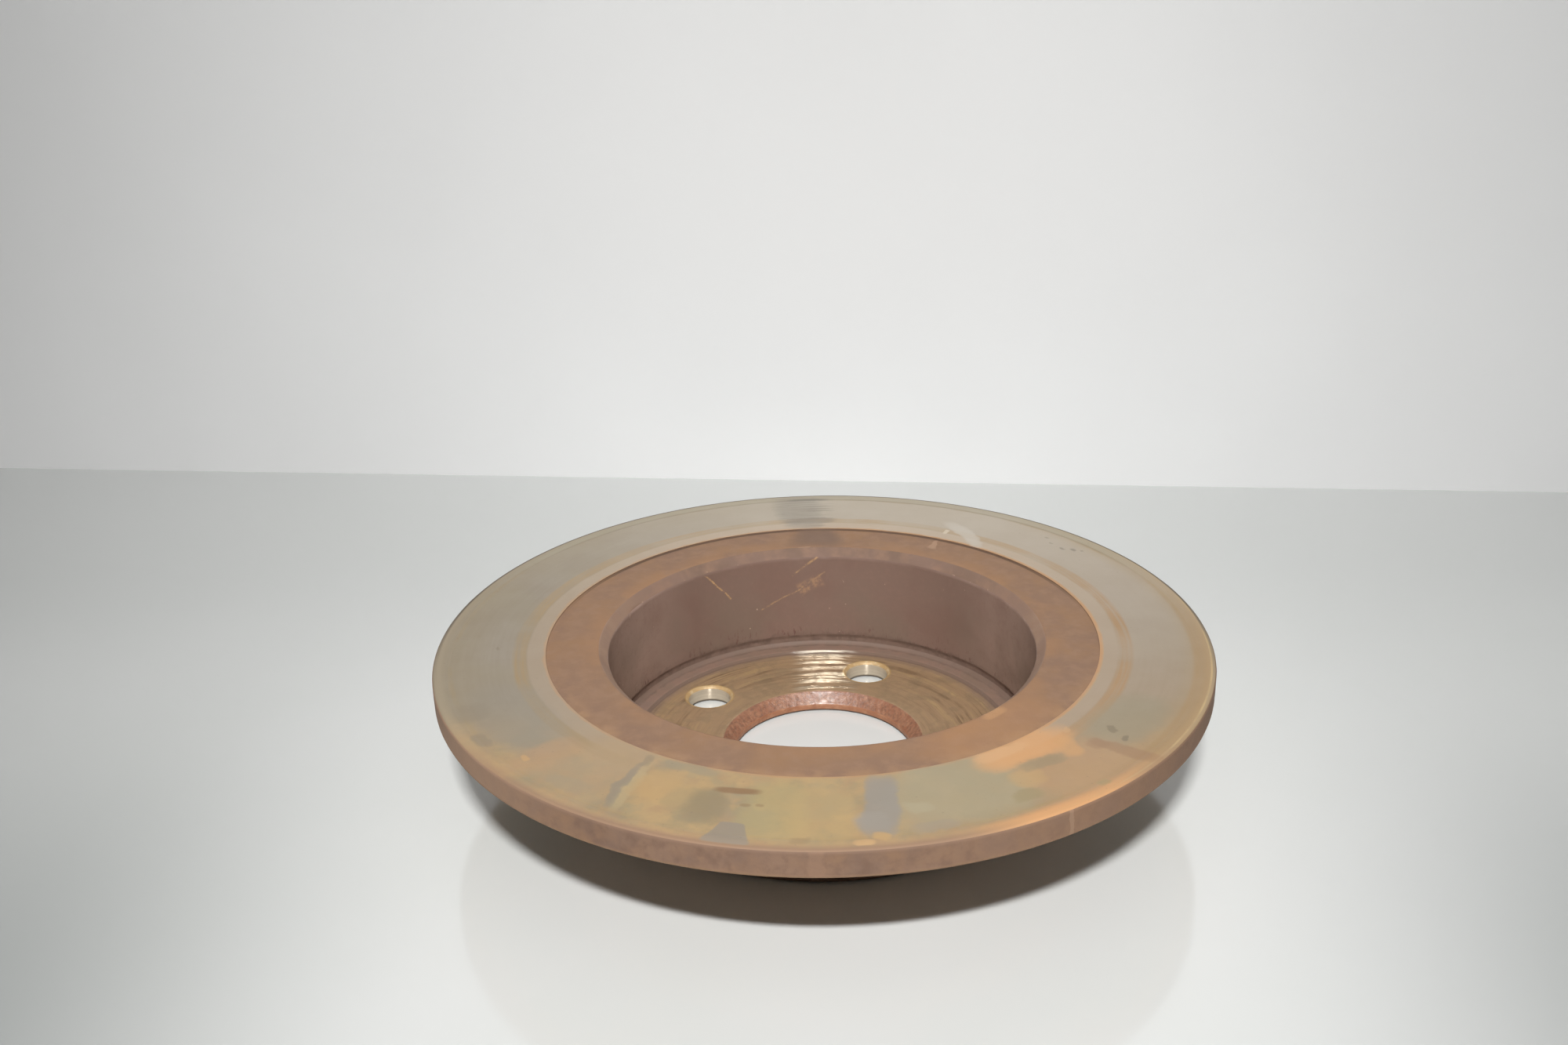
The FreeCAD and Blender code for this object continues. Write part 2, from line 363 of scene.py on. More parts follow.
def bolt_hole(number, cells, block_starts):
    """Rings of points from the seat's block down through the hole to the wheel face's block."""
    angle = number * TAU / BOLT_COUNT
    first_column = number * COLUMNS // BOLT_COUNT - BLOCK_COLUMNS // 2
    seat_row, face_row = block_starts
    top = block_loop(seat_row, first_column, inward=False)
    bottom = block_loop(face_row, first_column, inward=True)
    centre = BOLT_CIRCLE_R * np.array([math.cos(angle), math.sin(angle)])

    def circle(loop, radius):
        flat = np.array([cells[row, column][:2] for row, column in loop]) - centre
        return centre + radius * flat / np.linalg.norm(flat, axis=1)[:, None]

    def between(loop, mouth, height, skin, share):
        """Points part of the way from the block's border to the hole's mouth."""
        border = np.array([cells[row, column][:2] for row, column in loop])
        flat = border + (mouth - border) * share
        radius, theta = np.hypot(flat[:, 0], flat[:, 1]), np.arctan2(flat[:, 1], flat[:, 0])
        depth = RELIEFS[skin](radius, np.full_like(radius, height), theta)
        drop = -depth if height else depth
        return np.column_stack([flat, height + drop])

    rings, skins = [], []
    mouth = circle(top, BOLT_SECTION[0][0])
    for step in range(1, BLOCK_RINGS):
        rings.append(between(top, mouth, HUB_SEAT_Z, "hub_seat", step / BLOCK_RINGS))
        skins.append("hub_seat")
    for place, (radius, height, skin) in enumerate(BOLT_SECTION):
        flat = circle(top, radius)
        if place in (0, len(BOLT_SECTION) - 1):
            face = "hub_seat" if place == 0 else "wheel_face"
            rings.append(between(top, flat, height, face, 1.0))
        else:
            theta = np.arctan2(*(flat - centre).T[::-1])
            own_height = np.full(len(flat), height + 9.0 * number)
            depth = RELIEFS[skin](np.full(len(flat), radius), own_height, theta)
            ragged_ring = centre + (flat - centre) * ((radius + depth) / radius)[:, None]
            rings.append(np.column_stack([ragged_ring, np.full(len(flat), height)]))
        skins.append(skin)
    mouth = circle(bottom, BOLT_SECTION[-1][0])
    for step in range(BLOCK_RINGS - 1, 0, -1):
        rings.append(between(bottom, mouth, 0.0, "wheel_face", step / BLOCK_RINGS))
        skins.append("wheel_face")
    return top, bottom, rings, skins


def disc_mesh():
    """The whole disc as one closed mesh, with a material slot for each skin."""
    cells, row_skins, block_starts = ring_of_cells()
    rows = len(cells)
    vertices = [tuple(point) for point in cells.reshape(-1, 3)]
    open_cells = set()
    for number in range(BOLT_COUNT):
        first_column = number * COLUMNS // BOLT_COUNT - BLOCK_COLUMNS // 2
        for first_row in block_starts:
            for row in range(first_row, first_row + BLOCK_ROWS):
                open_cells.update((row, (first_column + step) % COLUMNS) for step in range(BLOCK_COLUMNS))
    faces, face_skins = [], []

    def place_of(row, column):
        return (row % rows) * COLUMNS + column % COLUMNS

    for row in range(rows):
        for column in range(COLUMNS):
            if (row, column) in open_cells:
                continue
            corners = [(row, column), (row, column + 1), (row + 1, column + 1), (row + 1, column)]
            faces.append([place_of(*corner) for corner in corners])
            face_skins.append(row_skins[row])

    for number in range(BOLT_COUNT):
        top, bottom, rings, skins = bolt_hole(number, cells, block_starts)
        last = [place_of(*place) for place in top]
        last_skin = "hub_seat"
        for ring, skin in zip(rings, skins):
            start = len(vertices)
            vertices += [tuple(point) for point in ring]
            current = list(range(start, start + len(ring)))
            join_loops(faces, face_skins, last, current, last_skin)
            last, last_skin = current, skin
        join_loops(faces, face_skins, last, [place_of(*place) for place in bottom], last_skin)

    mesh = bpy.data.meshes.new("brake_disc_casting")
    mesh.from_pydata([[MM * value for value in vertex] for vertex in vertices], [], faces)
    for skin in SKINS:
        mesh.materials.append(FINISHES[skin])
    mesh.polygons.foreach_set("material_index", face_skins)
    shape = bmesh.new()
    shape.from_mesh(mesh)
    bmesh.ops.delete(shape, geom=[vertex for vertex in shape.verts if not vertex.link_faces], context="VERTS")
    bmesh.ops.recalc_face_normals(shape, faces=shape.faces)
    for face in shape.faces:
        face.smooth = True
    shape.to_mesh(mesh)
    shape.free()
    return mesh


def join_loops(faces, face_skins, last, current, skin):
    """A band of quads between two loops of as many vertices."""
    count = len(last)
    for place in range(count):
        following = (place + 1) % count
        faces.append([last[place], last[following], current[following], current[place]])
        face_skins.append(SKINS.index(skin))


# Node materials. Lengths in their nodes are in millimetres, and colours are written as 8-bit sRGB.


def paint(red, green, blue):
    """A scene-linear colour from 8-bit sRGB."""
    def linear(value):
        value /= 255
        return value / 12.92 if value <= 0.04045 else ((value + 0.055) / 1.055) ** 2.4
    return (linear(red), linear(green), linear(blue), 1)


CLOUD_EDGE = 0.16


class Finish:
    """The node tree of one material, and the coordinates that its patterns use."""

    def __init__(self, name, roughness, metallic=0, specular=0.5):
        self.material = bpy.data.materials.new(name)
        self.material.use_nodes = True
        self.tree = self.material.node_tree
        self.shader = self.tree.nodes["Principled BSDF"]
        self.shader.inputs["Metallic"].default_value = metallic
        self.shader.inputs["Specular IOR Level"].default_value = specular
        self.shader.inputs["Roughness"].default_value = roughness
        object_place = self.add("ShaderNodeTexCoord").outputs["Object"]
        self.place = self.vector("SCALE", object_place, Scale=1 / MM)
        flat = self.vector("MULTIPLY", self.place, (1, 1, 0))
        self.radius = self.vector("LENGTH", flat, output="Value")
        self.direction = self.vector("NORMALIZE", flat)
        split = self.add("ShaderNodeSeparateXYZ", Vector=self.place)
        self.x, self.y, self.z = split.outputs
        self.pushed = self.place
        self.polar_places = {}
        self.colour = None

    def add(self, kind, **inputs):
        """A new node, with its inputs set or linked by name."""
        node = self.tree.nodes.new(kind)
        for name, value in inputs.items():
            self.plug(node.inputs[name.replace("_", " ")], value)
        return node

    def plug(self, socket, value):
        if isinstance(value, bpy.types.NodeSocket):
            self.tree.links.new(value, socket)
        else:
            socket.default_value = value

    def math(self, operation, *values):
        node = self.tree.nodes.new("ShaderNodeMath")
        node.operation = operation
        for socket, value in zip(node.inputs, values):
            self.plug(socket, value)
        return node.outputs[0]

    def vector(self, operation, *values, output="Vector", **inputs):
        node = self.tree.nodes.new("ShaderNodeVectorMath")
        node.operation = operation
        for socket, value in zip(node.inputs, values):
            self.plug(socket, value)
        for name, value in inputs.items():
            self.plug(node.inputs[name], value)
        return node.outputs[output]

    def ease(self, value, low, high, bottom=0, top=1):
        """Smooth step of a value from low to high."""
        node = self.tree.nodes.new("ShaderNodeMapRange")
        node.interpolation_type = "SMOOTHSTEP"
        for socket, number in zip(node.inputs, (value, low, high, bottom, top)):
            self.plug(socket, number)
        return node.outputs[0]

    def band(self, value, low, high, soft):
        """1 between low and high, with soft edges outside them."""
        rise = self.ease(value, low - soft, low)
        fall = self.ease(value, high, high + soft, 1, 0)
        return self.math("MULTIPLY", rise, fall)

    def times(self, *values):
        total = values[0]
        for value in values[1:]:
            total = self.math("MULTIPLY", total, value)
        return total

    def noise_node(self, size, detail, rough, seed, at):
        place = self.vector("ADD", at, (seed * 13.1, seed * 7.7, seed * 3.3))
        return self.add("ShaderNodeTexNoise", Vector=place, Scale=1 / size, Detail=detail, Roughness=rough)

    def noise(self, size, detail=3, rough=0.5, seed=0, at=None):
        """Noise about 0.5, with lumps of that size."""
        return self.noise_node(size, detail, rough, seed, self.place if at is None else at).outputs[0]

    def push(self, size, reach, seed):
        """Move the place that spots use about by noise, so that their outlines turn ragged."""
        drift = self.noise_node(size, 3, 0.55, seed, self.place).outputs["Color"]
        drift = self.vector("SUBTRACT", drift, (0.5, 0.5, 0.5))
        self.pushed = self.vector("MULTIPLY_ADD", drift, (2 * reach, 2 * reach, 0), self.pushed)
        self.polar_places = {}

    def polar(self, far):
        """Angle of the pushed place from the near side or from the far side, and its radius."""
        if far not in self.polar_places:
            x, y, _ = self.add("ShaderNodeSeparateXYZ", Vector=self.pushed).outputs
            if far:
                turn = self.math("ARCTAN2", self.math("MULTIPLY", x, -1), y)
            else:
                turn = self.math("ARCTAN2", x, self.math("MULTIPLY", y, -1))
            flat = self.vector("MULTIPLY", self.pushed, (1, 1, 0))
            self.polar_places[far] = (turn, self.vector("LENGTH", flat, output="Value"))
        return self.polar_places[far]

    def ringed(self, pitch, spread):
        """Coordinates that stretch a pattern round the disc: pitch is across the rings, spread along them."""
        rise = self.add("ShaderNodeCombineXYZ",
                        Z=self.math("DIVIDE", self.math("ADD", self.radius, self.z), pitch))
        return self.vector("MULTIPLY_ADD", self.direction, (spread, spread, 0), rise.outputs[0])

    def layers(self, pitch):
        """Coordinates that change only with height."""
        return self.add("ShaderNodeCombineXYZ", Z=self.math("DIVIDE", self.z, pitch)).outputs[0]

    def upright(self, width, height):
        """Coordinates that stretch a pattern up a round wall."""
        rise = self.add("ShaderNodeCombineXYZ", Z=self.math("DIVIDE", self.z, height))
        turns = DRUM_R / width
        return self.vector("MULTIPLY_ADD", self.direction, (turns, turns, 0), rise.outputs[0])

    def mix(self, share, first, second):
        """Mix of two colours, each an output of a node or three numbers."""
        node = self.tree.nodes.new("ShaderNodeMix")
        node.data_type = "RGBA"
        self.plug(node.inputs[0], share)
        for socket, colour in zip(node.inputs[6:8], (first, second)):
            self.plug(socket, paint(*colour) if isinstance(colour, tuple) else colour)
        return node.outputs[2]

    def mix_value(self, share, first, second):
        node = self.tree.nodes.new("ShaderNodeMix")
        for socket, value in zip((node.inputs[0], node.inputs[2], node.inputs[3]), (share, first, second)):
            self.plug(socket, value)
        return node.outputs[0]

    def wash(self, colour, *shares):
        """Lay a colour over what is there, by the product of the shares."""
        self.colour = self.mix(self.times(*shares), self.colour, colour)

    def clouds(self, base, *tints, strength=0.8):
        """A base colour with soft clouds of other colours: each has a colour, size and share."""
        self.colour = base
        for seed, (colour, size, share) in enumerate(tints, 1):
            cloud = self.noise(size, seed=seed, detail=4, rough=0.55)
            middle = 0.7 - share * 0.4
            self.wash(colour, self.ease(cloud, middle - CLOUD_EDGE, middle + CLOUD_EDGE), strength)

    def spot(self, angle, radius, half_along, half_across, turn=0, soft=0.9, taper=0, power=3):
        """Mask of a rounded patch on a ring: centre, half sizes, turn of its long side, softness, how much
        it widens outward, and how square it is."""
        far = angle > 0
        start = math.radians(angle - 90 if far else angle + 90)
        at, out = self.polar(far)
        along = self.math("MULTIPLY_ADD", at, radius, -start * radius)
        across = self.math("SUBTRACT", out, radius)
        lean = math.radians(turn)
        if turn:
            along, across = (
                self.math("ADD", self.math("MULTIPLY", along, math.cos(lean)),
                          self.math("MULTIPLY", across, math.sin(lean))),
                self.math("SUBTRACT", self.math("MULTIPLY", across, math.cos(lean)),
                          self.math("MULTIPLY", along, math.sin(lean))),
            )
        along = self.math("DIVIDE", along, half_along)
        across = self.math("DIVIDE", across, half_across)
        if taper:
            along = self.math("MULTIPLY", along, self.math("MULTIPLY_ADD", across, taper, 1))
        away = self.math("ADD", self.math("POWER", self.math("ABSOLUTE", along), power),
                         self.math("POWER", self.math("ABSOLUTE", across), power))
        return self.ease(away, 1 - soft, 1 + soft * 2.5, 1, 0)

    def stains_and_sheen(self, patches):
        """Listed patches: each has its colour, its strength and what spot takes."""
        for colour, strength, *place in patches:
            self.wash(colour, self.spot(*place), strength)

    def bump(self, height, distance):
        """Bumps of a height from 0 to 1, over a distance in millimetres."""
        node = self.add("ShaderNodeBump", Height=height, Distance=distance * MM)
        normal = self.shader.inputs["Normal"]
        if normal.is_linked:
            self.tree.links.new(normal.links[0].from_socket, node.inputs["Normal"])
        self.tree.links.new(node.outputs[0], normal)

    def brushed(self, tangent):
        """Stretch the highlight along the tangent, as fine grooves across it do."""
        self.shader.inputs["Anisotropic"].default_value = 1
        self.plug(self.shader.inputs["Tangent"], tangent)

    def nearest_hole(self):
        """Distance on the face from the axis of the nearest bolt hole."""
        flat = self.vector("MULTIPLY", self.place, (1, 1, 0))
        nearest = None
        for number in range(BOLT_COUNT):
            angle = number * TAU / BOLT_COUNT
            centre = (BOLT_CIRCLE_R * math.cos(angle), BOLT_CIRCLE_R * math.sin(angle), 0)
            away = self.vector("DISTANCE", flat, centre, output="Value")
            nearest = away if nearest is None else self.math("MINIMUM", nearest, away)
        return nearest

    def foot_shade(self):
        """Ragged dark line of painted shade where the drum's wall meets its relief, with upright flecks above
        and below.
        """
        flecks = self.noise(1, at=self.upright(1.6, 4), detail=4, rough=0.6, seed=51)
        patchy = self.noise(16, detail=3, seed=52)
        height = self.math("ADD", self.z, self.math("MULTIPLY_ADD", flecks, 6, -3))
        height = self.math("ADD", height, self.math("MULTIPLY_ADD", patchy, 8, -4))
        line = self.band(height, DRUM_END_Z - 0.6, DRUM_END_Z + 0.3, 1.2)
        self.wash((100, 82, 71), line, self.ease(patchy, 0.36, 0.60, 0.1, 0.5))

    def corner_shade(self):
        """Darken the ragged corner where the cast floor turns up into the drum's relief."""
        ragged = self.math("MULTIPLY_ADD", self.noise(3, detail=4, seed=53), 3, -1.5)
        at = self.math("ADD", self.radius, ragged)
        low = self.ease(self.z, CAST_FLOOR_Z + 2, CAST_FLOOR_Z + 1)
        self.wash((98, 81, 71), self.ease(at, DRUM_R - 2.4, DRUM_R - 1.2), low, 0.45)

    def grain(self, height, size):
        """Fine grain over coarser lumps."""
        self.bump(self.noise(size, detail=5, rough=0.6, seed=2), height)
        self.bump(self.noise(size * 4, detail=3, rough=0.5, seed=3), height * 1.5)

    def done(self, roughness=None):
        """The material, with its colour plugged in."""
        self.plug(self.shader.inputs["Base Color"], self.colour)
        if roughness is not None:
            self.plug(self.shader.inputs["Roughness"], roughness)
        return self.material


# Colours of the inboard face
IRON_GREY = (149, 137, 120)
IRON_PALE = (158, 146, 130)
OCHRE = (184, 154, 110)
KHAKI = (160, 142, 108)
TAN = (174, 142, 106)
GOLD = (172, 142, 104)
DARK_GREASE = (116, 110, 98)

# Patches on the inboard face: colour, strength, angle and radius of the centre, half size along the ring and
# across it, and whatever else spot takes. Angles are in degrees, with the camera's side at -90.
TRACK_STAINS = [
    ((150, 140, 125), 0.50, -147, 118, 22, 10),
    ((136, 124, 108), 0.50, -144.4, 133, 3.5, 2.2),
    ((142, 130, 112), 0.40, -152.5, 130, 5, 5),
    ((184, 148, 112), 0.55, -134.5, 122, 6, 10),
    ((200, 160, 112), 0.70, -136.6, 127, 1.6, 1),
    ((176, 150, 118), 0.60, -126, 116, 11, 16),
    ((158, 145, 122), 0.40, -126.3, 127.5, 7, 3),
    ((142, 128, 105), 0.55, -120.7, 105, 1.5, 2.5),
    ((184, 163, 124), 0.60, -118.4, 119, 1.7, 11, -12),
    ((144, 133, 116), 0.75, -119.7, 119, 1.4, 10, -14),
    ((188, 155, 108), 0.65, -115, 114, 5.5, 7.5),
    ((156, 142, 117), 0.55, -112.4, 102, 6.5, 1.8),
    ((166, 146, 107), 0.50, -109, 119, 5, 6),
    ((176, 158, 112), 0.60, -96, 118, 8, 13),
    ((148, 131, 101), 0.75, -105.8, 120, 5.2, 7.4),
    ((188, 160, 112), 0.55, -89.5, 119, 8, 14),
    ((154, 130, 97), 0.50, -92, 134, 2.6, 1.8),
    ((166, 154, 126), 0.80, -69, 115, 18, 14),
    ((150, 143, 134), 0.85, -80.6, 116, 4.8, 14, 13, 0.7, 0, 4),
    ((160, 152, 142), 0.45, -82.6, 125, 4.2, 4),
    ((176, 164, 136), 0.50, -75.8, 120, 3.5, 2.5),
    ((156, 144, 128), 0.50, -74.5, 131, 6, 2.4),
    ((178, 143, 108), 0.60, -49, 124, 17, 10),
    ((216, 162, 110), 0.80, -52.5, 105.5, 15, 5.5),
    ((212, 168, 124), 0.60, -56.5, 102.5, 8, 2.2),
    ((204, 156, 106), 0.70, -46.5, 112.5, 3, 4.5, 30),
    ((192, 158, 110), 0.55, -57.5, 119, 5, 4),
    ((152, 135, 106), 0.70, -53, 114.8, 6.3, 2.4),
    ((156, 139, 102), 0.70, -60.7, 126.3, 4.5, 2.3),
    ((158, 144, 103), 0.50, -50.5, 133.8, 1.8, 1.2),
    ((152, 142, 119), 0.65, -33, 119, 15, 8.5),
    ((157, 123, 92), 0.65, -41.6, 127, 2.4, 9, -6),
    ((156, 123, 95), 0.55, -42.6, 118.5, 3, 2.5),
    ((130, 117, 95), 0.70, -37, 117, 1.7, 0.9, -35, 0.8),
    ((128, 115, 95), 0.75, -38.5, 122.7, 1.6, 0.9, -35, 0.8),
    ((200, 160, 120), 0.60, -42.4, 106.3, 1.4, 0.9, 0, 0.8),
    ((134, 121, 102), 0.50, -173.8, 117, 1, 0.5, 0, 0.8),
    ((197, 188, 175), 0.75, 57, 109, 12, 2.6, 38),
    ((214, 200, 178), 0.75, 61.5, 107, 0.9, 2.4, 0, 0.8),
    ((124, 117, 104), 0.55, 37.4, 123.2, 1.4, 0.6, 20),
    ((124, 117, 104), 0.60, 36.2, 125.2, 0.9, 0.8),
    ((130, 122, 108), 0.50, 35, 127.6, 0.7, 0.6),
    ((134, 126, 112), 0.50, 40.5, 125, 0.8, 0.5),
    ((134, 126, 112), 0.40, 43.5, 127.5, 1, 0.5),
    ((150, 142, 130), 0.55, 95.5, 122, 8, 13),
    ((140, 130, 118), 0.60, 93, 108.5, 9, 3, 0, 0.8),
    ((126, 119, 108), 0.45, 93.5, 133.5, 7, 1.2),
    ((152, 143, 131), 0.50, 94.5, 103.5, 6, 3),
]
# Patches with straighter edges, which lie over the others
SHARP_STAINS = [
    ((148, 136, 121), 0.85, -101, 131.8, 5, 5.2, 0, 0.4, -0.33, 7),
    ((140, 106, 73), 0.80, -102.5, 109.8, 5.8, 1.4, -5, 0.8),
    ((142, 116, 82), 0.60, -100.4, 116.9, 1.3, 0.7),
    ((144, 118, 84), 0.55, -98.3, 116.4, 1.1, 0.6),
    ((202, 164, 118), 0.80, -84.2, 135, 2.6, 1.3, 0, 0.8),
    ((196, 160, 110), 0.80, -81.9, 132.4, 2.3, 1.7, 20, 0.8),
]
RECESS_STAINS = [
    ((116, 95, 82), 0.70, 92, 92, 8, 9, 0, 0.9, 0.4),
    ((186, 152, 126), 0.50, 60.8, 94, 1.1, 3.6, 0, 0.8, 0.4),
    ((196, 152, 108), 0.50, -46.5, 82.8, 4, 1.6, 0, 0.8),
    ((176, 130, 90), 0.35, -52, 90, 22, 7),
    ((190, 160, 134), 0.50, 95.7, 80.4, 2.4, 0.6, 0, 0.7),
]


def swept_iron(finish, seed):
    """Colour of a face that the pads sweep: grey iron with faint rings and slow clouds, with painted light
    that lightens it to the right and a painted reflection that lightens it towards the far side.
    """
    rings = finish.noise(1, at=finish.ringed(1.7, 2.6), detail=5, rough=0.6, seed=seed)
    finish.colour = finish.mix(finish.ease(rings, 0.1, 0.9), IRON_GREY, IRON_PALE)
    slow = finish.noise(38, detail=3, seed=seed + 1)
    finish.wash((154, 142, 120), finish.ease(slow, 0.35, 0.62), 0.5)
    finish.wash((154, 138, 110), finish.ease(finish.radius, 116, 132), 0.4)
    # Painted light: lighter to the right, where more light falls.
    right = finish.times(finish.ease(finish.x, -20, 110), finish.ease(finish.y, -90, 40))
    finish.wash((178, 163, 146), right, 0.7)
    # Painted reflection: lighter towards the far side, where the face mirrors the bright wall.
    far = finish.times(finish.ease(finish.y, 15, 120), finish.ease(finish.x, -120, 0, 0.4, 1))
    finish.wash((188, 176, 159), far, 0.8)


def near_rust(finish):
    """Thin mottled rust over the near side, in ochre, khaki and tan."""
    near = finish.ease(finish.y, -48, -104)
    right = finish.ease(finish.x, -40, 90)
    mottle = finish.noise(22, detail=5, rough=0.6, seed=31)
    small = finish.noise(8, detail=4, rough=0.6, seed=32)
    rust = finish.mix(finish.ease(mottle, 0.38, 0.58), KHAKI, OCHRE)
    rust = finish.mix(finish.times(finish.ease(small, 0.42, 0.66), 0.6), rust, TAN)
    finish.wash(rust, near, finish.ease(mottle, 0.22, 0.48, 0.35, 0.95))
    blotch = finish.noise(13, detail=3, rough=0.6, seed=34)
    finish.wash((200, 164, 114), near, finish.ease(blotch, 0.53, 0.62), 0.25)
    finish.wash((158, 146, 116), near, finish.ease(blotch, 0.45, 0.36), 0.3)
    finish.wash(TAN, right, finish.ease(finish.y, 20, -70), 0.35)


def wear_rings(finish):
    """The golden ring at the pads' inner edge and the pale ring inside it, both with a painted reflection
    that lightens them towards the far side, and the rust at the step.
    """
    drift = finish.math("MULTIPLY_ADD", finish.noise(26, detail=2, seed=6), 1.8, -0.9)
    at = finish.math("ADD", finish.radius, drift)
    uneven = finish.ease(finish.noise(24, detail=3, seed=7), 0.3, 0.62, 0.4, 0.95)
    # Painted reflection: the pale and golden rings are lighter towards the far side, where they mirror the
    # bright wall.
    far = finish.ease(finish.y, -20, 110)
    pale = finish.mix(far, (172, 152, 130), (190, 169, 146))
    near = finish.ease(finish.y, -100, -64)
    finish.wash(pale, finish.band(at, 99.8, 105.4, 1.2), near, 0.7)
    lines = finish.noise(1, at=finish.ringed(0.9, 3), detail=4, rough=0.6, seed=33)
    gold = finish.mix(finish.ease(finish.x, -40, 90), (164, 140, 106), (170, 136, 98))
    gold = finish.mix(far, gold, (176, 152, 121))
    finish.wash(gold, finish.band(at, 106.8, 110.3, 1.3), uneven,
                finish.ease(lines, 0.36, 0.6, 0.5, 1), finish.ease(finish.y, -110, -80))
    bright = finish.times(finish.band(finish.radius, 100, 100.5, 0.6), finish.ease(finish.x, 20, 90))
    finish.wash((192, 152, 106), bright, 0.5)
    side = finish.ease(finish.x, -70, 80, 0.5, 0.95)
    creep = finish.math("MULTIPLY_ADD", finish.noise(7, detail=4, seed=8), 2.2, 99.2)
    edge = finish.ease(finish.math("SUBTRACT", creep, finish.radius), -0.6, 0.5)
    finish.wash((190, 146, 104), edge, side)


def lip_lines(finish):
    """The golden line along the track's outer step, a painted highlight along the rim's top edge on the
    right, and painted shade on that edge at the far side and over the near lip's outer part.
    """
    broken = finish.ease(finish.noise(18, detail=4, seed=9), 0.40, 0.64, 0.1, 0.9)
    side = finish.ease(finish.x, -40, 100, 0.45, 1)
    finish.wash((166, 140, 96), finish.band(finish.radius, 132.2, 133, 0.8), broken, side, 0.5)
    near = finish.ease(finish.y, -60, -120)
    outer = finish.ease(finish.radius, 132, 137)
    finish.wash((170, 136, 104), outer, near, 0.35)
    right = finish.ease(finish.x, 70, 110)
    finish.wash((170, 144, 104), finish.ease(finish.radius, 126, 135), right, 0.4)
    behind = finish.ease(finish.y, 30, 90)
    finish.wash((166, 156, 134), finish.ease(finish.radius, 132.6, 133.4), behind, 0.6)
    finish.wash((140, 130, 110), finish.band(finish.radius, 132.7, 133.1, 0.4), behind, 0.5)
    brown = finish.times(finish.ease(finish.x, 50, 120), finish.ease(finish.y, 50, -20))
    finish.wash((166, 136, 98), finish.band(finish.radius, 132, 136.5, 1.5), brown, 0.6)
    rust = finish.times(finish.ease(finish.x, 34, 66), finish.ease(finish.x, 108, 84),
                        finish.ease(finish.y, -60, -78))
    finish.wash((212, 158, 108), finish.ease(finish.radius, 132, 136), rust, 0.85)
    # Painted highlight: a pale-gold line along the rim's top edge on the right, broken up along the ring.
    edge = finish.band(finish.radius, 137.1, 137.5, 0.25)
    ragged_ring = finish.ease(finish.noise(16, detail=4, seed=10), 0.36, 0.6, 0.2, 0.9)
    bright = finish.times(ragged_ring, finish.ease(finish.x, 60, 120),
                          finish.ease(finish.y, 75, 20, 0.3, 1))
    finish.wash((198, 172, 126), edge, bright, 0.7)
    # Painted shade: a dark line on the rim's top edge at the far side, where the edge turns away.
    corner = finish.ease(finish.radius, 137, 137.8)
    far = finish.ease(finish.y, -50, 30)
    finish.wash((96, 84, 71), corner, far, 0.9)
    # Painted shade: darker over the near lip's outer part and rounded edge, which face the lamps, away from
    # the rust.
    pale = finish.math("SUBTRACT", 1, rust)
    finish.wash((146, 116, 95), finish.ease(finish.radius, 135, 138.2), near, pale, 0.8)


def grease_streaks(finish):
    """Fine dark streaks along the rings, where grease lies on the far side."""
    patch = finish.spot(94.5, 120, 10, 18)
    streaks = finish.noise(1, at=finish.ringed(0.7, 5), detail=4, rough=0.6, seed=16)
    finish.wash(DARK_GREASE, patch, finish.ease(streaks, 0.50, 0.62), 0.45)


def track_finish():
    finish = Finish("swept_track", 0.5, metallic=0.2)
    finish.push(14, 3.2, 41)
    finish.push(3.5, 0.9, 42)
    swept_iron(finish, 1)
    near_rust(finish)
    wear_rings(finish)
    lip_lines(finish)
    finish.stains_and_sheen(TRACK_STAINS)
    finish.pushed = finish.place
    finish.push(2.5, 0.3, 43)
    finish.stains_and_sheen(SHARP_STAINS)
    grease_streaks(finish)
    specks = finish.ease(finish.noise(1.2, detail=2, seed=11), 0.68, 0.76)
    finish.wash((126, 112, 94), specks, 0.3)
    finish.bump(finish.noise(1, at=finish.ringed(0.35, 14), detail=4, rough=0.6, seed=12), 0.025)
    finish.bump(finish.noise(1.6, detail=4, seed=13), 0.025)
    swept = finish.ease(finish.radius, 136.8, 134)
    finish.plug(finish.shader.inputs["Metallic"], finish.times(swept, 0.2))
    shine = finish.ease(finish.noise(18, detail=4, seed=14), 0.3, 0.7, 0.4, 0.55)
    return finish.done(finish.mix_value(swept, 0.75, shine))


def recess_finish():
    finish = Finish("rusted_recess", 0.75, specular=0.3)
    finish.push(9, 2, 41)
    finish.clouds(
        (141, 111, 89),
        ((148, 114, 85), 24, 0.5),
        ((134, 106, 88), 13, 0.4),
        ((149, 118, 95), 5, 0.35),
    )
    inner = finish.ease(finish.radius, 91, 82)
    finish.wash((156, 118, 86), inner, finish.ease(finish.noise(18, seed=8), 0.35, 0.6), 0.6)
    edge = finish.band(finish.radius, 98.6, 99.3, 0.5)
    finish.wash((84, 66, 54), edge, finish.ease(finish.y, 10, 70, 0, 0.8))
    haze = finish.times(finish.ease(finish.radius, 93, 99), finish.ease(finish.y, -20, -60))
    finish.wash((170, 134, 100), haze, finish.ease(finish.noise(9, seed=9), 0.4, 0.6), 0.5)
    finish.stains_and_sheen(RECESS_STAINS)
    finish.grain(0.06, 0.8)
    return finish.done()


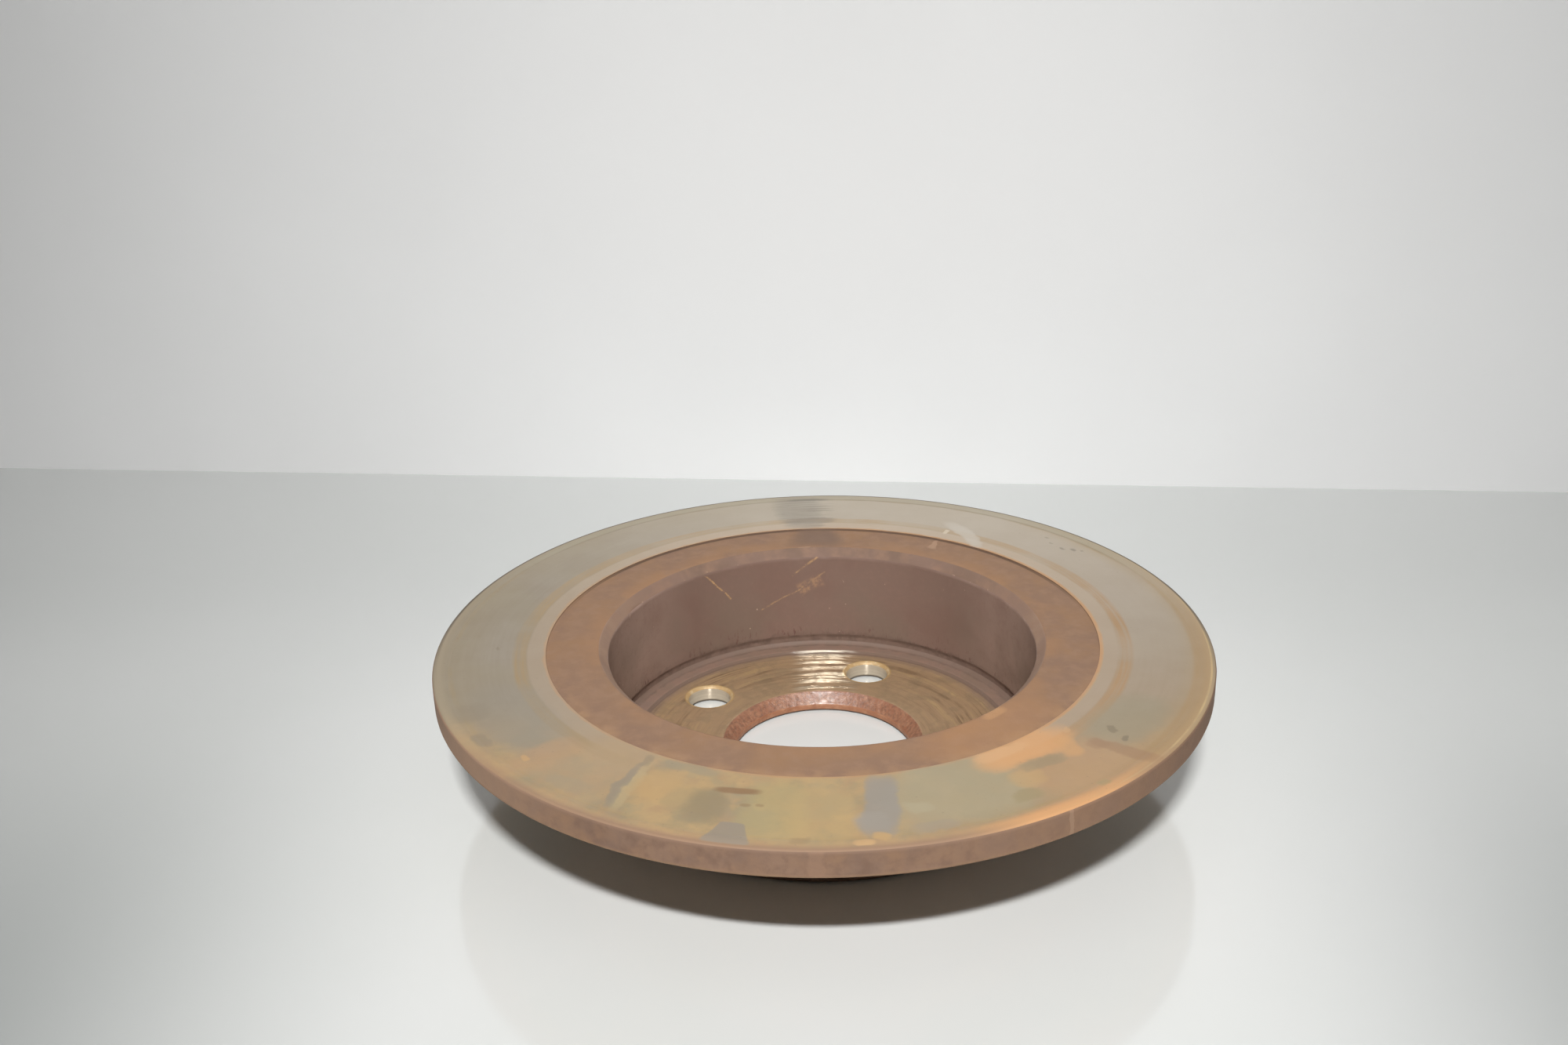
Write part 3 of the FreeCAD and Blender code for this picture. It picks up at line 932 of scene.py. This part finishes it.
def mouth_finish():
    finish = Finish("drum_mouth", 0.75, specular=0.3)
    base = finish.mix(finish.ease(finish.y, -10, 70), (158, 129, 108), (120, 97, 83))
    finish.clouds(
        base,
        ((134, 108, 95), 16, 0.5),
        ((146, 115, 95), 8, 0.35),
        strength=0.6,
    )
    lower = finish.ease(finish.radius, DRUM_R + 0.7, DRUM_R + 0.2)
    chips = finish.ease(finish.noise(2.6, detail=2, seed=9), 0.66, 0.74)
    finish.wash((186, 158, 136), lower, chips, 0.7)
    finish.grain(0.04, 0.8)
    return finish.done()


# Scratches on the drum's wall: the angle and height where each starts and ends, its width and strength.
# The smear beside them has the same, but for its strength.
SCRATCHES = [
    (128, 46.8, 119.6, 33.8, 0.5, 0.75),
    (92, 47.4, 95.5, 43.8, 0.6, 0.6),
    (95.8, 43.6, 99.4, 40, 0.5, 0.6),
    (90, 40.6, 97.5, 33.4, 0.5, 0.3),
    (97.5, 33.2, 109.2, 25.9, 0.45, 0.45),
]
SMEAR = (91, 37.5, 97.5, 33, 3.4)


def scratch_mask(finish, turn, start_angle, start_z, end_angle, end_z, width, seed):
    """Mask of a straight scratch on the drum's wall."""
    start = (math.radians(start_angle) * DRUM_R, start_z)
    end = (math.radians(end_angle) * DRUM_R, end_z)
    length = math.dist(start, end)
    way = ((end[0] - start[0]) / length, (end[1] - start[1]) / length)
    side = finish.math("SUBTRACT", turn, start[0])
    rise = finish.math("SUBTRACT", finish.z, start[1])
    along = finish.math("ADD", finish.math("MULTIPLY", side, way[0]), finish.math("MULTIPLY", rise, way[1]))
    across = finish.math("SUBTRACT", finish.math("MULTIPLY", rise, way[0]),
                         finish.math("MULTIPLY", side, way[1]))
    wander = finish.math("MULTIPLY_ADD", finish.noise(5, seed=seed), 1.2, -0.6)
    off = finish.math("ABSOLUTE", finish.math("ADD", across, wander))
    broken = finish.ease(finish.noise(2.4, detail=5, rough=0.7, seed=seed + 1), 0.38, 0.60)
    return finish.times(finish.ease(off, width, width * 0.3), finish.band(along, 0, length, 1), broken)


def drum_finish():
    finish = Finish("drum_wall", 0.7, specular=0.3)
    # Painted light: the wall is lighter towards its left and right sides.
    side = finish.ease(finish.math("ABSOLUTE", finish.x), 50, 76)
    finish.colour = finish.mix(side, (125, 101, 89), (158, 132, 118))
    fine = finish.noise(2.6, detail=5, rough=0.7, seed=18)
    finish.wash((134, 106, 94), finish.ease(fine, 0.46, 0.66), 0.3)
    olive = finish.ease(finish.noise(34, detail=3, seed=1), 0.38, 0.62)
    finish.wash((120, 104, 90), olive, finish.ease(finish.z, 44, 24), 0.5)
    red = finish.ease(finish.noise(20, detail=4, seed=2), 0.45, 0.7)
    finish.wash((118, 89, 78), red, 0.3)
    turn = finish.math("MULTIPLY", finish.math("ARCTAN2", finish.y, finish.x), DRUM_R)
    for number, (*line, width, strength) in enumerate(SCRATCHES):
        mask = scratch_mask(finish, turn, *line, width, 20 + number)
        finish.wash((196, 156, 108), mask, strength)
    blur = finish.noise(2.6, detail=5, rough=0.65, seed=27)
    smear = scratch_mask(finish, turn, *SMEAR, 28)
    finish.wash((174, 136, 102), smear, finish.ease(blur, 0.30, 0.62), 0.75)
    foot = finish.ease(finish.z, DRUM_END_Z + 9, DRUM_END_Z)
    flecks = finish.ease(finish.noise(1, at=finish.upright(0.9, 3), detail=3, seed=15), 0.56, 0.68)
    patchy = finish.ease(finish.noise(14, detail=2, seed=17), 0.40, 0.62)
    finish.wash((104, 74, 66), foot, flecks, patchy)
    # Painted shade in the crease at the drum's foot.
    finish.foot_shade()
    bright = finish.ease(finish.noise(2.1, detail=1, seed=16), 0.77, 0.81)
    finish.wash((190, 164, 144), bright, 0.6)
    finish.grain(0.03, 0.8)
    return finish.done()


def relief_finish():
    finish = Finish("drum_relief", 0.8, specular=0.2)
    finish.clouds(
        (120, 98, 86),
        ((128, 105, 92), 5, 0.4),
        ((106, 86, 76), 4, 0.3),
    )
    # Painted shade in the crease at the drum's foot.
    finish.foot_shade()
    finish.corner_shade()
    finish.grain(0.12, 0.7)
    return finish.done()


def floor_finish():
    finish = Finish("cast_floor", 0.6, specular=0.35)
    finish.clouds(
        (133, 110, 97),
        ((130, 108, 92), 12, 0.5),
        ((140, 112, 97), 6, 0.4),
    )
    finish.corner_shade()
    finish.grain(0.08, 0.8)
    return finish.done()


def seat_finish():
    """Turned seat: golden-brown film over bright grooves, with a painted highlight where the grooves catch
    the key lamp.
    """
    finish = Finish("hub_seat", 0.3)
    finish.brushed(finish.direction)
    wide = finish.noise(1, at=finish.ringed(2.4, 1.8), detail=3, rough=0.6, seed=1)
    thin = finish.noise(1, at=finish.ringed(0.6, 2.4), detail=4, rough=0.65, seed=2)
    patchy = finish.ease(finish.noise(16, detail=4, rough=0.6, seed=6), 0.36, 0.62, 0.25, 1)
    streaked = finish.times(finish.ease(finish.radius, 42, 56, 0.3, 1), patchy)
    finish.colour = (172, 142, 110)
    finish.wash((194, 163, 118), finish.ease(wide, 0.50, 0.62), streaked, 0.8)
    finish.wash((122, 98, 72), finish.ease(wide, 0.46, 0.36), streaked, 0.8)
    finish.wash((206, 176, 126), finish.ease(thin, 0.56, 0.68), streaked, 0.4)
    finish.wash((126, 100, 74), finish.ease(thin, 0.44, 0.32), streaked, 0.4)
    dull = finish.ease(finish.noise(7, detail=5, rough=0.65, seed=3), 0.46, 0.62)
    finish.wash((154, 130, 102), dull, 0.5)
    glints = finish.ease(wide, 0.46, 0.58)
    hole = finish.nearest_hole()
    finish.wash((196, 162, 108), finish.ease(hole, BOLT_MOUTH_R + 0.8, BOLT_MOUTH_R + 0.4), 0.7)
    edge = finish.math("MULTIPLY_ADD", finish.noise(6, detail=4, seed=5), 6, 65.6)
    film = finish.ease(finish.math("SUBTRACT", finish.radius, edge), -3, 3)
    finish.wash((132, 109, 94), film, 0.9)
    outer = finish.ease(finish.radius, HUB_SEAT_R - 1.2, HUB_SEAT_R - 0.4)
    finish.wash((112, 92, 80), outer, 0.8)
    bare = finish.math("SUBTRACT", 1, film)
    # Painted highlight: lighter colour in a narrow column at the middle, where the grooves catch the key
    # lamp; the column also gets more metal and stronger bumps.
    bright = finish.times(glints, finish.ease(finish.math("ABSOLUTE", finish.x), 15, 4))
    finish.wash((240, 226, 200), bright, 0.7)
    shine = finish.times(bare, finish.math("MULTIPLY_ADD", bright, 0.5, 0.3))
    finish.plug(finish.shader.inputs["Metallic"], shine)
    finish.bump(bright, 0.6)
    finish.bump(thin, 0.10)
    finish.bump(finish.noise(0.8, detail=4, seed=4), 0.03)
    return finish.done(finish.math("MULTIPLY_ADD", dull, 0.15, 0.28))


def throat_finish():
    finish = Finish("cast_throat", 0.42, specular=0.9)
    finish.clouds(
        (152, 103, 76),
        ((146, 92, 64), 7, 0.5),
        ((172, 124, 94), 3, 0.4),
        ((116, 80, 60), 1.2, 0.35),
    )
    finish.shader.inputs["Coat Weight"].default_value = 0.75
    finish.shader.inputs["Coat Roughness"].default_value = 0.32
    finish.grain(0.16, 0.35)
    return finish.done()


def land_finish():
    finish = Finish("bore_land", 0.55)
    finish.clouds(
        (160, 108, 78),
        ((146, 96, 68), 6, 0.5),
        ((178, 130, 98), 3, 0.3),
    )
    # Painted shade: a dark line along the bore's lower edge, down by the floor.
    finish.wash((60, 50, 44), finish.ease(finish.z, 1.1, 0.6), 0.9)
    finish.grain(0.05, 0.7)
    return finish.done()


def hole_wall_finish():
    finish = Finish("bare_hole_wall", 0.32, metallic=0.3)
    finish.brushed(finish.add("ShaderNodeCombineXYZ", Z=1).outputs[0])
    marks = finish.noise(1, at=finish.layers(0.5), detail=4, seed=1)
    finish.colour = finish.mix(finish.ease(marks, 0.35, 0.65), (188, 174, 153), (198, 184, 163))
    # Painted shade: darker at the hole's foot, where it meets the floor.
    foot = finish.ease(finish.z, 1.6, 1)
    finish.wash((96, 84, 70), foot, 0.8)
    finish.bump(finish.noise(0.5, detail=3, seed=2), 0.02)
    return finish.done()


def hole_edge_finish():
    finish = Finish("hole_chamfer", 0.5, metallic=0.15)
    finish.clouds(
        (196, 166, 120),
        ((184, 148, 100), 3, 0.5),
        ((214, 194, 158), 2, 0.3),
    )
    # Painted shade: the lower chamfer, down by the floor, is dark.
    finish.wash((80, 68, 56), finish.ease(finish.z, 2, 1.2), 0.9)
    finish.bump(finish.noise(0.5, detail=3, seed=2), 0.04)
    return finish.done()


def rim_finish():
    finish = Finish("rusted_rim", 0.75, specular=0.3)
    finish.push(6, 1.5, 41)
    finish.clouds(
        (139, 111, 92),
        ((142, 110, 85), 20, 0.5),
        ((124, 100, 86), 11, 0.4),
        ((120, 94, 78), 4, 0.3),
    )
    # Painted shade: darker along the top rounding, which faces the lamps.
    top = finish.ease(finish.z, HEIGHT - 2.4, HEIGHT - 0.2)
    finish.wash((128, 102, 85), top, 0.7)
    finish.wash((150, 118, 94), finish.ease(finish.x, 10, 90), 0.5)
    # Painted light: lighter towards the left side.
    finish.wash((172, 140, 116), finish.ease(finish.x, -60, -120), 0.8)
    foot = finish.ease(finish.z, OUTBOARD_LIP_Z + 1.5, OUTBOARD_LIP_Z + 0.3)
    finish.wash((156, 124, 95), foot, 0.6)
    finish.stains_and_sheen([
        ((166, 136, 112), 0.55, -57.7, DISC_R, 0.6, 6),
        # Painted highlight: a pale upright stripe at the front's middle, where the rim faces the key lamp.
        ((154, 122, 100), 0.40, -90, DISC_R, 1.8, 6),
    ])
    finish.grain(0.08, 0.8)
    return finish.done()


def outboard_track_finish():
    finish = Finish("outboard_track", 0.52, metallic=0.2)
    swept_iron(finish, 21)
    gold = finish.band(finish.radius, 105, 109, 2)
    finish.wash(GOLD, gold, 0.6)
    # Painted shade: the underside is darker towards the hat, under the disc.
    finish.wash((98, 84, 71), finish.ease(finish.radius, 132, 110), 0.7)
    rust = finish.ease(finish.noise(30, detail=4, seed=24), 0.5, 0.68)
    finish.wash(TAN, rust, 0.5)
    finish.bump(finish.noise(1, at=finish.ringed(0.35, 14), detail=4, seed=22), 0.03)
    return finish.done()


def outboard_lip_finish():
    finish = Finish("outboard_lip", 0.65, metallic=0.1)
    finish.clouds(
        (168, 144, 116),
        ((152, 130, 104), 14, 0.5),
        ((180, 146, 108), 7, 0.35),
    )
    finish.grain(0.05, 0.7)
    return finish.done()


def hat_finish():
    finish = Finish("hat_outside", 0.78, specular=0.3)
    finish.clouds(
        (108, 84, 69),
        ((112, 84, 68), 24, 0.5),
        ((140, 108, 86), 10, 0.35),
        ((100, 78, 66), 5, 0.3),
    )
    finish.grain(0.2, 0.9)
    return finish.done()


def wheel_face_finish():
    finish = Finish("wheel_face", 0.7, metallic=0.1)
    finish.clouds(
        (150, 122, 98),
        ((132, 100, 78), 22, 0.5),
        ((168, 146, 118), 12, 0.4),
        ((120, 94, 76), 4, 0.3),
    )
    finish.grain(0.05, 0.8)
    finish.bump(finish.noise(1, at=finish.ringed(0.6, 6), detail=4, seed=4), 0.06)
    return finish.done()


FINISHES = {
    "bore_land": land_finish(),
    "throat": throat_finish(),
    "hub_seat": seat_finish(),
    "cast_floor": floor_finish(),
    "relief": relief_finish(),
    "drum": drum_finish(),
    "mouth": mouth_finish(),
    "recess": recess_finish(),
    "track": track_finish(),
    "rim": rim_finish(),
    "outboard_track": outboard_track_finish(),
    "outboard_lip": outboard_lip_finish(),
    "hat_outside": hat_finish(),
    "wheel_face": wheel_face_finish(),
    "hole_edge": hole_edge_finish(),
    "hole_wall": hole_wall_finish(),
}
FINISHES["lip"] = FINISHES["track"]
FINISHES["outboard_recess"] = FINISHES["recess"]


def add_disc():
    disc = bpy.data.objects.new("brake_disc_casting", disc_mesh())
    bpy.context.scene.collection.objects.link(disc)
    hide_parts("brake_disc")
    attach(disc, "root")


# Stage, light and camera, in metres

FLOOR_HALF = 4.0
WALL_Y = 0.295
WALL_TURN = math.radians(-4.14)
WALL_HALF = 2.2
WALL_HEIGHT = 1.8


def stage_plane(name, corners, material):
    mesh = bpy.data.meshes.new(name)
    mesh.from_pydata(corners, [], [(0, 1, 2, 3)])
    mesh.materials.append(material)
    plane = bpy.data.objects.new(name, mesh)
    bpy.context.scene.collection.objects.link(plane)


def floor_material():
    finish = Finish("pale_floor", 0.12, specular=1.0)
    finish.shader.inputs["Coat Weight"].default_value = 0.8
    finish.shader.inputs["Coat Roughness"].default_value = 0.1
    shade = finish.ease(finish.noise(160.0, detail=4.0, seed=1.0), 0.3, 0.7)
    finish.colour = finish.mix(shade, (230, 232, 229), (234, 235, 233))
    # Painted shade: the floor is darker to the sides and towards the wall, where less light falls.
    aside = finish.ease(finish.math("ABSOLUTE", finish.x), 110.0, 270.0)
    finish.wash((176, 179, 177), aside, finish.ease(finish.y, 160.0, -180.0))
    finish.wash((196, 198, 196), finish.ease(finish.y, -60.0, 180.0), 0.7)
    return finish.done()


def wall_material():
    """Pale wall that shows only from its front."""
    finish = Finish("pale_wall", 0.7, specular=0.2)
    shade = finish.ease(finish.noise(220.0, detail=3.0, seed=2.0), 0.3, 0.7)
    finish.colour = finish.mix(shade, (238, 238, 237), (242, 242, 241))
    finish.done()
    back = finish.add("ShaderNodeNewGeometry").outputs["Backfacing"]
    clear = finish.add("ShaderNodeBsdfTransparent")
    both = finish.tree.nodes.new("ShaderNodeMixShader")
    output = finish.tree.nodes["Material Output"]
    for socket, value in zip(both.inputs, (back, finish.shader.outputs[0], clear.outputs[0])):
        finish.plug(socket, value)
    finish.plug(output.inputs["Surface"], both.outputs[0])
    return finish.material


def add_stage():
    side = FLOOR_HALF
    floor_corners = [(-side, -side, 0), (side, -side, 0), (side, side, 0), (-side, side, 0)]
    stage_plane("floor", floor_corners, floor_material())
    reach, drop = WALL_HALF, WALL_HALF * math.tan(WALL_TURN)
    left, right = WALL_Y - drop, WALL_Y + drop
    wall_corners = [
        (-reach, left, 0), (reach, right, 0),
        (reach, right, WALL_HEIGHT), (-reach, left, WALL_HEIGHT),
    ]
    stage_plane("wall", wall_corners, wall_material())


# Each lamp: its place, the point it looks at, its width and height, its power and how wide it spreads
LAMPS = {
    "key": ((0.0, -0.824, 0.886), (0.0, 0.09, 0.03), 0.13, 0.04, 2.75, 75),
    "overhead": ((0.0, -0.1, 1.7), (0.0, -0.1, 0.0), 1.6, 1.6, 3.0, 180),
    "left": ((-1.3, -0.2, 0.45), (0.0, 0.0, 0.04), 0.8, 0.5, 0.55, 180),
    "right": ((1.3, -0.2, 0.45), (0.0, 0.0, 0.04), 0.8, 0.5, 0.65, 180),
}
FILL_STRENGTH = 0.04


def area_light(name, place, target, width, height, power, spread):
    """A rectangular lamp that looks at a point."""
    lamp = bpy.data.lights.new(name, "AREA")
    lamp.shape = "RECTANGLE"
    lamp.size, lamp.size_y = width, height
    lamp.energy = power
    lamp.spread = math.radians(spread)
    light = bpy.data.objects.new(name, lamp)
    light.location = place
    light.rotation_euler = (Vector(target) - Vector(place)).to_track_quat("-Z", "Y").to_euler()
    light.visible_camera = False
    bpy.context.scene.collection.objects.link(light)


def add_light():
    for name, lamp in LAMPS.items():
        area_light(name, *lamp)
    world = bpy.data.worlds.new("soft_fill")
    world.use_nodes = True
    background = world.node_tree.nodes["Background"]
    background.inputs["Color"].default_value = (1.0, 1.0, 1.0, 1.0)
    background.inputs["Strength"].default_value = FILL_STRENGTH
    bpy.context.scene.world = world
    bpy.context.scene.view_settings.view_transform = "Standard"


CAMERA_PLACE = Vector((0.00882, -0.49272, 0.2934))
CAMERA_YAW = math.radians(-2.488)
CAMERA_DOWN = math.radians(21.978)
CAMERA_ROLL = math.radians(-1.429)
CAMERA_LENS = 34.51
CAMERA_SENSOR = 36.0


def add_camera():
    """The photo's camera: its place, the way it looks and its roll."""
    ahead = Vector((
        math.sin(CAMERA_YAW) * math.cos(CAMERA_DOWN),
        math.cos(CAMERA_YAW) * math.cos(CAMERA_DOWN),
        -math.sin(CAMERA_DOWN),
    ))
    level = Vector((math.cos(CAMERA_YAW), -math.sin(CAMERA_YAW), 0.0))
    above = level.cross(ahead)
    right = level * math.cos(CAMERA_ROLL) + above * math.sin(CAMERA_ROLL)
    up = above * math.cos(CAMERA_ROLL) - level * math.sin(CAMERA_ROLL)
    lens = bpy.data.cameras.new("camera")
    lens.sensor_fit = "HORIZONTAL"
    lens.sensor_width = CAMERA_SENSOR
    lens.lens = CAMERA_LENS
    camera = bpy.data.objects.new("camera", lens)
    turn = Matrix((right, up, -ahead)).transposed()
    camera.matrix_world = Matrix.Translation(CAMERA_PLACE) @ turn.to_4x4()
    bpy.context.scene.collection.objects.link(camera)
    bpy.context.scene.camera = camera


add_disc()
add_stage()
add_light()
add_camera()
